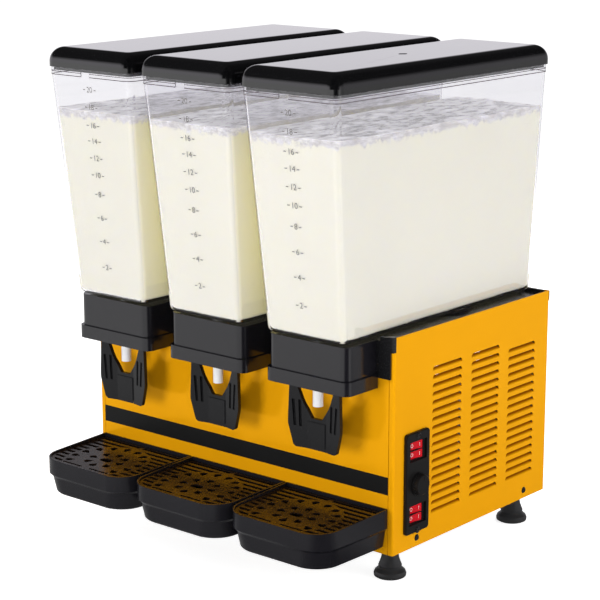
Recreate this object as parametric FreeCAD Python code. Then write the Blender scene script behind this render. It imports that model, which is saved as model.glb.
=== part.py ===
import FreeCAD, Part
import math
import os

V = FreeCAD.Vector
os.makedirs("parts", exist_ok=True)

# Driving dimensions, millimetres
station_pitch = 188.0
station_count = 3
half_width = 288.9
front_y = -188.0
rear_y = 195.5
foot_height = 47.3
cabinet_height = 314.7
sheet = 1.5
wall = 2.5
gap = 0.3
run_fit = 0.05

# Levels that follow from them
floor_z = foot_height
top_z = floor_z + cabinet_height
deck_z = top_z - 6.0
deck_thick = 3.0
pan_lip = 20.0
flange = 8.4
seam = 0.8
inner_half = half_width - sheet
front_half = half_width - flange - seam
last = (station_count - 1) / 2.0
stations = [(i - last) * station_pitch for i in range(station_count)]

# Tank and lid
lid_half = 86.15
lid_front = -298.7
lid_rear = 206.3
lid_z = 701.8
lid_height = 28.3
lid_round = 20.0
lid_skirt = 7.5
lid_wall = 2.2
lid_corner = 16.0
rim_inset = 2.6
rim_height = 13.9
rim_proud = 1.2
rim_fit = 0.5
notch_left = -14.0
notch_right = 3.0
notch_height = 7.0
dimple_half = 1.5
dimple_y = (-53.5, -36.5)
ledge_thick = 3.0
ledge_wide = 7.0
tank_wall = 3.0
tank_floor_z = deck_z + 2.0
tank_top_z = lid_z + 2.7
rim_z = tank_top_z - rim_height
tank_bottom_half = 69.5
tank_bottom_front = -261.0
tank_bottom_rear = 192.0
tank_corner = 11.0
tank_round = 9.0

# Evaporator, gasket and impeller
evap_y = 20.0
evap_r = 59.0
evap_height = 140.0
evap_wall = 1.5
gasket_lip = 1.7
gasket_r = evap_r + 8.0
collar_r = evap_r + gasket_lip + gap
collar_height = 14.0
impeller_r = 44.0
hub_r = 13.0
post_r = 4.0
post_height = 18.0
evap_dome = 14.0
evap_bevel = 8.0
evap_crown = 4.0
post_foot = 12.0
gasket_height = 8.0
blade_count = 4
blade_half = 7.0
blade_pitch = 30.0

# Mixer motor below each impeller
motor_r = 30.0
motor_column = 9.0
motor_hang = 75.0
motor_height = 60.0
magnet_r = 24.0
magnet_height = 8.0

# Tap
tap_y = -230.0
tube_r = 7.3
tube_bore = 4.6
tube_z = 257.0
hinge_y = -242.0
hinge_z = 325.0
hinge_r = 3.0
lug_r = 7.5
lug_in = 32.0
lug_out = 44.0
pin_in = 22.0
rib_in = 46.5
pin_z = hinge_z + 1.0
cross_r = 2.0
cross_half = 14.0
plunger_lift = 3.6
housing_z = 288.2
housing_top = deck_z - 0.3
skirt_top = 307.8
skirt_half = 74.7
skirt_front = -258.6
housing_half = 71.5
housing_front = -255.5
housing_corner = 13.0
lever_thick = 6.0
lever_z = 193.0
lever_half = 47.0
wing_start = 17.0
wing_fold = 9.0
groove_x = (28.0, 37.5)
groove_half = 2.2
groove_deep = 2.6
groove_z0 = 224.0
groove_z1 = 262.0

# Drip tray and grille
tray_half = 93.0
tray_taper = 3.7
tray_front = -332.0
tray_top = 115.4
tray_top_front = 111.6
tray_step = 83.2
tray_floor = 56.6
tray_corner = 38.0
tray_draft = 7.0
tray_step_in = 3.6
tray_step_high = 4.5
tongue_x = 55.0
tongue_wide = 20.0
tongue_z = 92.0
tongue_thick = 3.0
grille_z = 110.5
grille_thick = 3.0
slot_rows = 10
slot_width = 6.6
ring_y = -89.0
ring_clear = 67.0
ring_in = 28.0
ring_out = 57.0
drop_r = 5.9
drop_tip = 9.4
drops_in = 8
drops_out = 16
oval_x = 11.0
oval_y = 6.5
front_slot = 40.0

# Deck apron
apron_z = 302.6
apron_thick = 3.0
apron_half = 283.7
tab_out = 290.4
tab_z = 342.0
tab_len = 7.6
tab_rear_proud = 1.6
tab_rear_z = 346.5

# Feet, screws and cord gland
foot_in_x = 33.0
foot_in_y = 38.0
stud_r = 4.0
stud_high = 12.0
screw_r = 2.0
side_screws = ((-132.0, 60.0), (139.0, 60.0))
gland_r = 8.0
gland_flange = 11.0
gland_hole = 4.0
gland_z = 90.0

# Controls on the right side
plate_y = -137.0
plate_z = 145.0
plate_half_y = 27.0
plate_half_z = 74.0
plate_thick = 5.0
recess_y = 39.0
recess_z = 29.0
switch_offset = 46.85
rocker_y = 27.1
rocker_z = 11.6
rocker_pitch = 13.4
rocker_tilt = 7.0
knob_r = 16.2
knob_z = 142.7
knob_height = 9.6
knob_skirt = 2.6
knob_flutes = 24
shaft_r = 3.0
knob_taper = 1.0
flute_r = 0.9
screw_head = 2.6
screw_dome = 6.2
recess_deep = 3.2
pivot_deep = 7.0
switch_deep = 22.0
axle_r = 1.5
thermostat_half = (14.0, 18.0)
thermostat_deep = 26.0

# Louvres
slot_len = 70.5
louvre_pitch_y = 94.0
louvre_pitch_z = 12.4
louvre_high = 6.2
louvre_round = 4.8
louvre_lean = 48.0
louvre_y = -64.0
louvre_z = 89.8
louvre_rows = 18
louvre_columns = 3
back_rows = 10
back_columns = 4
back_slot_half = 36.0
back_slot_high = 5.0
back_pitch = 100.0
back_z = 130.0
stripe_z = (135.3, 161.1)
stripe_thick = 0.4

# Cooling unit inside
compressor_r = 70.0
compressor_height = 125.0
compressor_z = 25.0
seam_r = 76.0
pad_r = 11.0
pad_height = 18.0
condenser_half = 22.0
condenser_height = 206.0
fin_count = 20
fin_pitch = 10.0
fin_thick = 1.2
tube_out = 4.0
tube_offset = 10.0
tube_rows = 5
tube_step = 40.0
fan_r = 88.0
fan_hub = 22.0
fan_shaft = 3.0
fan_count = 5
fan_twist = 62.0
pipe_r = 3.0
pipe_bend = 12.0
coil_r = 46.0
coil_pitch = 14.0
coil_turns = 5


def box(x0, x1, y0, y1, z0, z1):
    return Part.makeBox(x1 - x0, y1 - y0, z1 - z0, V(x0, y0, z0))


def cyl(r, x, y, z, height, axis=V(0, 0, 1)):
    return Part.makeCylinder(r, height, V(x, y, z), axis)


def rounded(points, radii, z):
    edges = []
    n = len(points)
    ends = []
    for i in range(n):
        p = V(points[i][0], points[i][1], z)
        a = V(points[i - 1][0], points[i - 1][1], z)
        b = V(points[(i + 1) % n][0], points[(i + 1) % n][1], z)
        u = (a - p).normalize()
        w = (b - p).normalize()
        half = u.getAngle(w) / 2.0
        r = radii[i]
        if r < 0.01:
            ends.append((p, p, None))
            continue
        t = r / math.tan(half)
        middle = p + (u + w).normalize() * (r / math.sin(half))
        ends.append((p + u * t, p + w * t, middle + (p - middle).normalize() * r))
    for i in range(n):
        start, stop, mid = ends[i]
        if mid is not None:
            edges.append(Part.Arc(start, mid, stop).toShape())
        following = ends[(i + 1) % n][0]
        if stop.distanceToPoint(following) > 1e-6:
            edges.append(Part.LineSegment(stop, following).toShape())
    return Part.Wire(edges)


def ring(x0, x1, y0, y1, r, z):
    return rounded([(x0, y0), (x1, y0), (x1, y1), (x0, y1)], [r] * 4, z)


def prism(wire, height):
    return Part.Face(wire).extrude(V(0, 0, height))


def slab(x0, x1, y0, y1, r, z0, z1):
    return prism(ring(x0, x1, y0, y1, r, z0), z1 - z0)


def side_prism(points, radii, x0, x1):
    # Outline given as (y, z) pairs, pushed out along x
    shape = prism(rounded(points, radii, 0.0), x1 - x0)
    shape.rotate(V(0, 0, 0), V(1, 1, 1), 120)
    shape.translate(V(x0, 0, 0))
    return shape


def front_prism(points, radii, y0, y1):
    # Outline given as (x, z) pairs, pushed out along y
    shape = prism(rounded(points, radii, 0.0), y1 - y0)
    shape.rotate(V(0, 0, 0), V(1, 0, 0), 90)
    shape.translate(V(0, y1, 0))
    return shape


def fuse(shapes):
    whole = shapes[0]
    for shape in shapes[1:]:
        whole = whole.fuse(shape)
    return whole.removeSplitter()


def revolve(points, x, y):
    # Profile given as (radius, z) pairs
    pts = [V(x + r, y, z) for r, z in points]
    wire = Part.makePolygon(pts + [pts[0]])
    return Part.Face(wire).revolve(V(x, y, 0), V(0, 0, 1), 360)


def pipe(points, r, bend):
    edges = []
    pts = [V(*p) for p in points]
    here = pts[0]
    for i in range(1, len(pts) - 1):
        u = (pts[i - 1] - pts[i]).normalize()
        w = (pts[i + 1] - pts[i]).normalize()
        half = u.getAngle(w) / 2.0
        t = bend / math.tan(half)
        middle = pts[i] + (u + w).normalize() * (bend / math.sin(half))
        a = pts[i] + u * t
        b = pts[i] + w * t
        m = middle + (pts[i] - middle).normalize() * bend
        edges.append(Part.LineSegment(here, a).toShape())
        edges.append(Part.Arc(a, m, b).toShape())
        here = b
    edges.append(Part.LineSegment(here, pts[-1]).toShape())
    path = Part.Wire(edges)
    section = Part.Wire(Part.makeCircle(r, pts[0], pts[1] - pts[0]))
    return path.makePipeShell([section], True, True)


def coil(r, wire_r, pitch, turns, x, y, z):
    # Half rings, each tilted so that it climbs half a pitch and meets the next one square
    rise = pitch / 4.0
    halves = []
    for k in range(2 * turns):
        side = 1 - 2 * (k % 2)
        circle = Part.makeCircle(wire_r, V(side * r, 0, 2 * rise * k), V(0, 1, 0))
        section = Part.Face(Part.Wire(circle))
        halves.append(section.revolve(V(0, 0, rise * (2 * k + 1)), V(side * rise, 0, r), 180))
    shape = fuse(halves)
    shape.translate(V(x, y, z))
    return shape


# Frame shift: the middle of the whole thing stands over the origin
knob_front = half_width + plate_thick + gap + knob_height
left_out = max(tab_out, half_width + screw_head)
shift_x = (knob_front - left_out) / 2.0
shift_y = (tray_front + lid_rear) / 2.0
nodes = {}


def add(name, shapes):
    if not isinstance(shapes, list):
        shapes = [shapes]
    nodes[name] = shapes


# Lid
def lid_sections(inset, drop, z_low):
    corner = lid_corner - inset
    shapes = []
    x = lid_half - inset
    y0 = lid_front + inset
    y1 = lid_rear - inset
    z = lid_z + lid_skirt
    shapes.append(slab(-x, x, y0, y1, corner, z_low, z))
    high = lid_height - lid_skirt - drop
    wires = []
    steps = 6
    for i in range(steps + 1):
        t = math.pi / 2 * i / steps
        e = lid_round * (1 - math.cos(t))
        r = corner - (corner - 4.0) * e / lid_round
        wires.append(ring(-x + e, x - e, y0 + e, y1 - e, r, z + high * math.sin(t)))
    shapes.append(Part.makeLoft(wires, True, False))
    return fuse(shapes)


def make_lid():
    outer = lid_sections(0.0, 0.0, lid_z)
    inner = lid_sections(lid_wall, lid_wall, lid_z - 1.0)
    shell = outer.cut(inner)
    x = lid_half - rim_inset + rim_fit
    y0 = lid_front + rim_inset - rim_fit
    y1 = lid_rear - rim_inset + rim_fit
    ledge_z = tank_top_z + gap
    ledge = slab(-x - 1, x + 1, y0 - 1, y1 + 1, lid_corner - 1, ledge_z, ledge_z + ledge_thick)
    lip = lip_ring(0.8, 2.3, ledge_z - 8.0, ledge_z + ledge_thick)
    w = ledge_wide
    void = slab(-x + w, x - w, y0 + w, y1 - w, 8.0, ledge_z - 9.0, ledge_z + ledge_thick + 1)
    ledge = ledge.cut(void)
    return fuse([shell, ledge, lip])


def lip_ring(near, far, z0, z1):
    a = tank_section(rim_z, tank_wall + near)
    b = tank_section(rim_z, tank_wall + far)
    return slab(*a, z0, z1).cut(slab(*b, z0 - 1, z1 + 1))


# Tank
def tank_section(z, inset):
    t = (z - tank_floor_z) / (rim_z - tank_floor_z)
    top_half = lid_half - rim_inset - rim_proud
    top_front = lid_front + rim_inset + rim_proud
    top_rear = lid_rear - rim_inset - rim_proud
    half = tank_bottom_half + (top_half - tank_bottom_half) * t - inset
    y0 = tank_bottom_front + (top_front - tank_bottom_front) * t + inset
    y1 = tank_bottom_rear + (top_rear - tank_bottom_rear) * t - inset
    return (-half, half, y0, y1, max(tank_corner - inset, 2.0))


def tank_wire(z, inset, pull=0.0):
    x0, x1, y0, y1, r = tank_section(z, inset)
    return ring(x0 + pull, x1 - pull, y0 + pull, y1 - pull, r, z)


def tank_block(inset, z_top):
    base = tank_floor_z + inset
    radius = tank_round - inset / 2
    wires = []
    steps = 4
    for i in range(steps + 1):
        t = math.pi / 2 * i / steps
        wires.append(tank_wire(base + radius * (1 - math.cos(t)), inset, radius * (1 - math.sin(t))))
    foot = Part.makeLoft(wires, True, False)
    body = Part.makeLoft([tank_wire(base + radius, inset), tank_wire(z_top, inset)], True, True)
    return fuse([foot, body])


def make_tank():
    rim_half = lid_half - rim_inset
    y0 = lid_front + rim_inset
    y1 = lid_rear - rim_inset
    outer = tank_block(0.0, rim_z)
    rim = slab(-rim_half, rim_half, y0, y1, lid_corner - rim_inset, rim_z, tank_top_z)
    notch = box(notch_left, notch_right, y0 - 1, y0 + rim_proud, rim_z - 1, rim_z + notch_height)
    inner = tank_block(tank_wall, rim_z + 0.5)
    mouth = slab(*tank_section(rim_z, tank_wall), rim_z, tank_top_z + 1)
    collar = cyl(collar_r + tank_wall, 0, evap_y, tank_floor_z, collar_height)
    hole = cyl(collar_r, 0, evap_y, tank_floor_z - 1, collar_height + 2)
    drain = cyl(tube_r, 0, tap_y, tank_floor_z - 1, 10)
    shell = fuse([outer, rim.cut(notch)]).cut(inner).cut(mouth)
    shape = fuse([shell, collar]).cut(hole).cut(drain)
    return shape


# Tap
def make_tube():
    top = tank_floor_z + tank_wall + 4.0
    body = cyl(tube_r, 0, tap_y, tube_z, top - tube_z)
    collar = cyl(tube_r + 4, 0, tap_y, tank_floor_z + tank_wall, 2.5)
    bore = cyl(tube_bore, 0, tap_y, tube_z - 1, top - tube_z + 2)
    low = pin_z - cross_r - gap
    high = pin_z + cross_r + plunger_lift + gap
    slot = box(-20, 20, tap_y - cross_r - gap, tap_y + cross_r + gap, low, high)
    return fuse([body, collar]).cut(bore).cut(slot)


def make_plunger():
    seat = tank_floor_z + tank_wall + 4.0 + gap
    rod = cyl(tube_bore - 1.0, 0, tap_y, pin_z - 8, seat + 1 - pin_z + 8)
    head = cyl(tube_r + 1.5, 0, tap_y, seat, 3.0)
    dome = Part.makeCone(tube_r + 1.5, 3.0, 4.0, V(0, tap_y, seat + 3.0))
    cross = cyl(cross_r, -cross_half, tap_y, pin_z, 2 * cross_half, V(1, 0, 0))
    return fuse([rod, head, dome, cross])


def shell_box(half, y_front, z0, z1, inset):
    points = [(-half + inset, y_front + inset), (half - inset, y_front + inset)]
    back = front_y - apron_thick
    points += [(half - inset, back), (-half + inset, back)]
    r = housing_corner - inset
    return prism(rounded(points, [r, r, 0, 0], z0), z1 - z0)


def make_housing():
    upper = shell_box(housing_half, housing_front, skirt_top, housing_top, 0)
    skirt = shell_box(skirt_half, skirt_front, housing_z, skirt_top, 0)
    body = fuse([upper, skirt])
    body = body.cut(shell_box(housing_half, housing_front, skirt_top - 4, housing_top - 3, wall))
    body = body.cut(shell_box(skirt_half, skirt_front, housing_z - 1, skirt_top - 2, wall))
    ribs = []
    for s in (-1, 1):
        lo = min(s * rib_in, s * (rib_in + wall))
        ribs.append(box(lo, lo + wall, hinge_y - 8, hinge_y + 8, hinge_z - 8, housing_top - 2))
    body = fuse([body] + ribs)
    body = body.cut(cyl(tube_r + 1.5, 0, tap_y, housing_top - 10, 20))
    cross_room = cross_half + 2
    body = body.cut(box(-cross_room, cross_room, tap_y - 4, tap_y + 4, housing_top - 10, housing_top + 5))
    body = body.cut(cyl(hinge_r, -rib_in - 5, hinge_y, hinge_z, 2 * rib_in + 10, V(1, 0, 0)))
    return body


def make_lever():
    outline = [(45, housing_z + 8), (45, 283), (lever_half, 236), (lever_half, 226), (38, lever_z)]
    outline += [(-38, lever_z), (-lever_half, 226), (-lever_half, 236), (-45, 283), (-45, housing_z + 8)]
    window = [(33.5, housing_z + 8), (32.7, 282), (24.5, 260), (9.2, 238)]
    outline += [(-px, pz) for px, pz in window] + window[::-1]
    radii = [0, 0, 6, 6, 7, 7, 6, 6, 0, 0, 0, 40, 60, 2, 2, 60, 40, 0]
    plate = front_prism(outline, radii, tap_y - 20, tap_y + 20)
    t = lever_thick
    lean = wing_fold / (60.0 - wing_start)
    face = [(-60, -wing_fold), (-wing_start, 0), (wing_start, 0), (60, -wing_fold)]
    face += [(px, py + t) for px, py in face[::-1]]
    fold = prism(rounded([(px, tap_y - t / 2 + py) for px, py in face], [0, 4, 4, 0, 0, 4, 4, 0], 150), 200)
    plate = plate.common(fold)
    raised = slab(-16, 16, tap_y - t / 2 - 1.2, tap_y, 1.0, lever_z + 5, 233)
    parts = [plate, raised]
    for s in (-1, 1):
        x0 = min(s * lug_in, s * lug_out)
        x1 = max(s * lug_in, s * lug_out)
        low = housing_z + 2
        arm = [(hinge_y - lug_r, hinge_z), (hinge_y - lug_r, hinge_z - 6), (tap_y - 8, low)]
        arm += [(tap_y + 2, low), (hinge_y + lug_r + 6, hinge_z - 4), (hinge_y + lug_r, hinge_z)]
        parts.append(side_prism(arm, [0, 0, 0, 0, 0, 0], x0, x1))
        parts.append(cyl(lug_r, x0, hinge_y, hinge_z, x1 - x0, V(1, 0, 0)))
        a = min(s * (tube_r + 2.2), s * (lug_in + 1))
        b = max(s * (tube_r + 2.2), s * (lug_in + 1))
        shelf_top = pin_z - cross_r - gap
        parts.append(box(a, b, hinge_y + 6.5, tap_y + 7, shelf_top - 3.6, shelf_top))
    shape = fuse(parts)
    bore = cyl(hinge_r + run_fit, -60, hinge_y, hinge_z, 120, V(1, 0, 0))
    shape = shape.cut(bore)
    for s in (-1, 1):
        for x in groove_x:
            bottom = tap_y - t / 2 - lean * (x - wing_start) + groove_deep
            near = s * x - groove_half
            far = s * x + groove_half
            groove = slab(near, far, tap_y - 20, bottom, 0.5, groove_z0, groove_z1)
            middle = V(s * x, tap_y, (groove_z0 + groove_z1) / 2)
            groove.rotate(middle, V(0, 1, 0), s * (x - 20) * 0.25)
            shape = shape.cut(groove)
    return shape


def torsion_spring(s):
    turns = 5
    wire = 0.55
    pitch = 1.25
    r = 4.4
    shape = coil(r, wire, pitch, turns, 0, 0, 0)
    shape.rotate(V(0, 0, 0), V(0, 1, 0), 90)
    start = min(s * (lug_in - 1.0), s * (lug_in - 1.0 - pitch * turns))
    shape.translate(V(start, hinge_y, hinge_z))
    return shape


# Drip tray
def tray_wire(inset, z, draft=0.0):
    e = inset + draft
    rear = front_y - gap - inset
    front = tray_front + e
    reach = (front_y - gap - front) / (front_y - gap - tray_front)
    half_f = tray_half - tray_taper * reach - e
    half_r = tray_half - e
    r = tray_corner - inset
    points = [(-half_f, front), (half_f, front), (half_r, rear), (-half_r, rear)]
    return rounded(points, [r, r, max(3.0 - inset, 0.5), max(3.0 - inset, 0.5)], z)


def make_tray():
    band_top = tray_step + tray_step_high
    upper = prism(tray_wire(0, band_top), tray_top - band_top)
    band = Part.makeLoft([tray_wire(0, tray_step, tray_step_in), tray_wire(0, band_top)], True, True)
    round_low = 5.0
    wires = []
    for i in range(4):
        t = math.pi / 2 * i / 3
        pull = tray_draft + round_low * (1 - math.sin(t))
        wires.append(tray_wire(0, tray_floor + round_low * (1 - math.cos(t)), pull))
    foot = Part.makeLoft(wires, True, False)
    z = tray_floor + round_low
    lower = Part.makeLoft([tray_wire(0, z, tray_draft), tray_wire(0, tray_step, tray_step_in)], True, True)
    body = fuse([upper, band, lower, foot])
    ledge = grille_z - grille_thick - gap
    body = body.cut(prism(tray_wire(wall, ledge), 20))
    body = body.cut(prism(tray_wire(wall + 3.5, ledge - 5), 20))
    hollow = [tray_wire(wall, tray_floor + wall, tray_draft), tray_wire(wall, tray_step, tray_step_in)]
    body = body.cut(Part.makeLoft(hollow, True, True))
    hollow = [tray_wire(wall, tray_step, tray_step_in), tray_wire(wall, band_top, 1.0)]
    body = body.cut(Part.makeLoft(hollow, True, True))
    body = body.cut(prism(tray_wire(wall, band_top, 1.0), ledge - 4.2 - band_top))
    slope = (tray_top - tray_top_front) / (front_y - tray_front)
    cut = [(front_y + 20, tray_top + 20 * slope), (tray_front - 20, tray_top_front - 20 * slope)]
    cut += [(tray_front - 20, tray_top + 30), (front_y + 20, tray_top + 30)]
    body = body.cut(side_prism(cut, [0] * 4, -tray_half - 5, tray_half + 5))
    tongues = []
    for s in (-1, 1):
        x = s * tongue_x
        a = x - tongue_wide / 2
        b = x + tongue_wide / 2
        tongues.append(box(a, b, front_y - gap - 1, front_y + 9, tongue_z, tongue_z + tongue_thick))
    return fuse([body] + tongues)


def tear_drop(r, a, y):
    # Teardrop with its point turned to the middle of the pattern
    x0 = r * math.cos(a)
    y0 = y + r * math.sin(a)
    d = V(math.cos(a), math.sin(a), 0)
    n = V(-d.y, d.x, 0)
    c = V(x0, y0, 0)
    tip = c - d * drop_tip
    edges = [Part.LineSegment(tip, c + n * drop_r).toShape()]
    edges.append(Part.Arc(c + n * drop_r, c + d * drop_r, c - n * drop_r).toShape())
    edges.append(Part.LineSegment(c - n * drop_r, tip).toShape())
    wire = Part.Wire(edges)
    wire.translate(V(0, 0, grille_z - grille_thick - 1))
    return prism(wire, grille_thick + 2)


def make_grille():
    fit = 0.4
    z0 = grille_z - grille_thick
    plate = prism(tray_wire(wall + fit, z0), grille_thick)
    border = prism(tray_wire(wall + fit + 5.0, z0 - 1), grille_thick + 2)
    span = front_y - tray_front - 2 * wall - 8.0
    pitch = span / slot_rows
    y_ring = front_y + ring_y
    disc = cyl(ring_clear, 0, y_ring, z0 - 2, 20)
    cuts = []
    for row in range(slot_rows):
        y = front_y - wall - 5.0 - pitch * (row + 0.4)
        for s in (-1, 1):
            x0 = min(s * 4, s * 100)
            x1 = max(s * 4, s * 100)
            bar = box(x0, x1, y - slot_width / 2, y + slot_width / 2, z0 - 1, z0 + grille_thick + 1)
            cuts.append(bar)
    slots = Part.makeCompound(cuts).common(border)
    kept = []
    for solid in slots.cut(disc).Solids:
        size = solid.BoundBox
        if size.XLength > 9 and size.YLength > slot_width * 0.7:
            kept.append(solid)
    below = z0 - 1
    above = z0 + grille_thick + 1
    kept.append(slab(-oval_x, oval_x, y_ring - oval_y, y_ring + oval_y, oval_y - 0.1, below, above))
    y = tray_front + wall + fit + 8.0
    for s in (-1, 1):
        x0 = min(s * 8, s * (8 + front_slot))
        kept.append(slab(x0, x0 + front_slot, y - 2.0, y + 2.0, 1.9, below, above))
    for i in range(drops_in):
        kept.append(tear_drop(ring_in, 2 * math.pi / drops_in * i, y_ring))
    for i in range(drops_out):
        hole = tear_drop(ring_out, 2 * math.pi / drops_out * (i + 0.5), y_ring)
        if hole.BoundBox.YMin > tray_front + 14:
            kept.append(hole)
    return plate.cut(Part.makeCompound(kept))


# Stations
def station_name(index):
    # Left, middle and right as long as there are three of them
    return ("left", "middle", "right")[index] if station_count == 3 else str(index + 1)


for index, x in enumerate(stations):
    lid = make_lid()
    if index == station_count - 1:
        lid_top = lid_z + lid_height
        dimple = ring(-dimple_half, dimple_half, *dimple_y, dimple_half - 0.1, lid_top - 1.5)
        lid = lid.cut(prism(dimple, 2.5))
    pieces = {
        "lid": lid,
        "tank": make_tank(),
        "outlet_tube": make_tube(),
        "tap_plunger": make_plunger(),
        "tap_housing": make_housing(),
        "tap_lever": make_lever(),
        "drip_tray": make_tray(),
        "drip_grille": make_grille(),
    }
    for name, shape in pieces.items():
        shape.translate(V(x, 0, 0))
        add(name + "_" + station_name(index), shape)

# Evaporators, gaskets, motors, impellers
evap_top = deck_z + evap_height
evap_side = evap_top - evap_dome


def make_evaporator(x):
    foot_r = post_r + post_foot
    post_top = evap_top + post_height
    shoulder = evap_top - evap_crown
    w = evap_wall
    outer = [(0, deck_z), (evap_r, deck_z), (evap_r, evap_side), (evap_r - evap_bevel, shoulder)]
    outer += [(foot_r, evap_top), (post_r, evap_top), (post_r, post_top), (0, post_top)]
    inner = [(0, deck_z - 1), (evap_r - w, deck_z - 1), (evap_r - w, evap_side - 1)]
    inner += [(evap_r - evap_bevel - w, shoulder - w), (foot_r, evap_top - w), (0, evap_top - w)]
    return revolve(outer, x, evap_y).cut(revolve(inner, x, evap_y))


def make_gasket(x):
    lip = cyl(evap_r + gasket_lip, x, evap_y, deck_z, gasket_height)
    seat = cyl(gasket_r, x, evap_y, deck_z, tank_floor_z - deck_z - gap)
    return fuse([lip, seat]).cut(cyl(evap_r, x, evap_y, deck_z - 1, gasket_height + 4))


def make_motor(x):
    can = cyl(motor_r, x, evap_y, evap_top - motor_hang, motor_height)
    foot = deck_z - deck_thick
    column = cyl(motor_column, x, evap_y, foot, evap_top - motor_hang - foot)
    drum = cyl(magnet_r, x, evap_y, evap_top - motor_hang + motor_height, magnet_height)
    return fuse([can, column, drum])


def make_impeller(x):
    hub_z = evap_top + 1.0
    blades = [cyl(hub_r, x, evap_y, hub_z, post_height + 6)]
    for k in range(blade_count):
        blade = box(hub_r - 2, impeller_r, -1.5, 1.5, -blade_half, blade_half)
        blade.rotate(V(0, 0, 0), V(1, 0, 0), blade_pitch)
        blade.rotate(V(0, 0, 0), V(0, 0, 1), 360.0 / blade_count * k)
        blade.translate(V(x, evap_y, hub_z + blade_half + 3))
        blades.append(blade)
    return fuse(blades).cut(cyl(post_r + run_fit, x, evap_y, hub_z - 1, post_height + gap))


pins = []
springs = []
for index, x in enumerate(stations):
    add("impeller_" + station_name(index), make_impeller(x))
    for s in (-1, 1):
        x0 = x + min(s * pin_in, s * (rib_in + wall))
        pins.append(cyl(hinge_r, x0, hinge_y, hinge_z, rib_in + wall - pin_in, V(1, 0, 0)))
        spring = torsion_spring(s)
        spring.translate(V(x, 0, 0))
        springs.append(spring)
add("evaporators", [make_evaporator(x) for x in stations])
add("tank_gaskets", [make_gasket(x) for x in stations])
add("mixer_motors", [make_motor(x) for x in stations])
add("lever_pins", pins)
add("lever_springs", springs)

# Base pan
foot_x = half_width - foot_in_x
feet_y = (front_y + foot_in_y, rear_y - foot_in_y)
foot_places = [(sx * foot_x, y) for y in feet_y for sx in (-1, 1)]
back_screws = [(sx * (front_half - 12), z) for sx in (-1, 1) for z in (60.0, 330.0)]
pan_r = 4.0
pan_in = inner_half - sheet
pan_top = floor_z + sheet
pan_cut = slab(-pan_in, pan_in, front_y + 2 * sheet, rear_y - 2 * sheet, pan_r - sheet, pan_top,
               floor_z + pan_lip + 1)
pan = slab(-inner_half, inner_half, front_y + sheet, rear_y - sheet, pan_r, floor_z, floor_z + pan_lip)
pan = pan.cut(pan_cut)
for px, py in foot_places:
    pan = pan.cut(cyl(stud_r, px, py, floor_z - 1, 5))
for py, pz in side_screws:
    pan = pan.cut(cyl(screw_r, -half_width - 5, py, pz, 2 * half_width + 10, V(1, 0, 0)))
for px, pz in back_screws:
    pan = pan.cut(cyl(screw_r, px, rear_y - 5, pz, 10, V(0, 1, 0)))

# Front panel with the slots that take the tray tongues
deck_low = deck_z - deck_thick
panel = box(-front_half, front_half, front_y, front_y + sheet, floor_z, deck_low)
returns = []
for s in (-1, 1):
    a = min(s * front_half, s * (front_half - sheet))
    returns.append(box(a, a + sheet, front_y, front_y + 15, floor_z + pan_lip + gap, deck_low))
panel = fuse([panel] + returns)
tongue_half = tongue_wide / 2 + 0.5
for x in stations:
    for s in (-1, 1):
        middle = x + s * tongue_x
        panel = panel.cut(box(middle - tongue_half, middle + tongue_half, front_y - 1, front_y + 3,
                              tongue_z - 0.4, tongue_z + tongue_thick + 0.4))


def louvre_plate(yc, low, less, x0, x1):
    # A slot or its flap: square along the fold below, round at both corners above
    half = slot_len / 2 - less
    points = [(yc - half, low), (yc + half, low), (yc + half, low + louvre_high - less)]
    points += [(yc - half, low + louvre_high - less)]
    r = louvre_round - less
    return side_prism(points, [0, 0, r, r], x0, x1)


def side_panel():
    bend = 3.0
    points = [(half_width - flange, front_y), (half_width, front_y), (half_width, rear_y)]
    points += [(half_width - flange, rear_y)]
    outer = prism(rounded(points, [0, bend, bend, 0], floor_z), cabinet_height)
    inner = [(half_width - flange - 1, front_y + sheet), (inner_half, front_y + sheet)]
    inner += [(inner_half, rear_y - sheet), (half_width - flange - 1, rear_y - sheet)]
    hollow = prism(rounded(inner, [0, bend - sheet, bend - sheet, 0], floor_z - 1), cabinet_height + 2)
    shape = outer.cut(hollow)
    slots = []
    flaps = []
    for column in range(louvre_columns):
        yc = louvre_y + column * louvre_pitch_y
        rows = louvre_rows - 1 if column == louvre_columns - 1 else louvre_rows
        for row in range(rows):
            z = louvre_z + row * louvre_pitch_z
            low = z - louvre_high / 2
            slots.append(louvre_plate(yc, low, 0, half_width - 2 * sheet, half_width + 1))
            flap = louvre_plate(yc, low, 0.3, inner_half, half_width)
            flap.rotate(V(half_width, yc, low), V(0, 1, 0), -louvre_lean)
            flaps.append(flap)
    shape = shape.cut(Part.makeCompound(slots))
    shape = shape.fuse(flaps).removeSplitter()
    for py, pz in side_screws:
        shape = shape.cut(cyl(screw_r, half_width - 5, py, pz, 10, V(1, 0, 0)))
    return shape


right = side_panel()
left = right.mirror(V(0, 0, 0), V(1, 0, 0))

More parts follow.
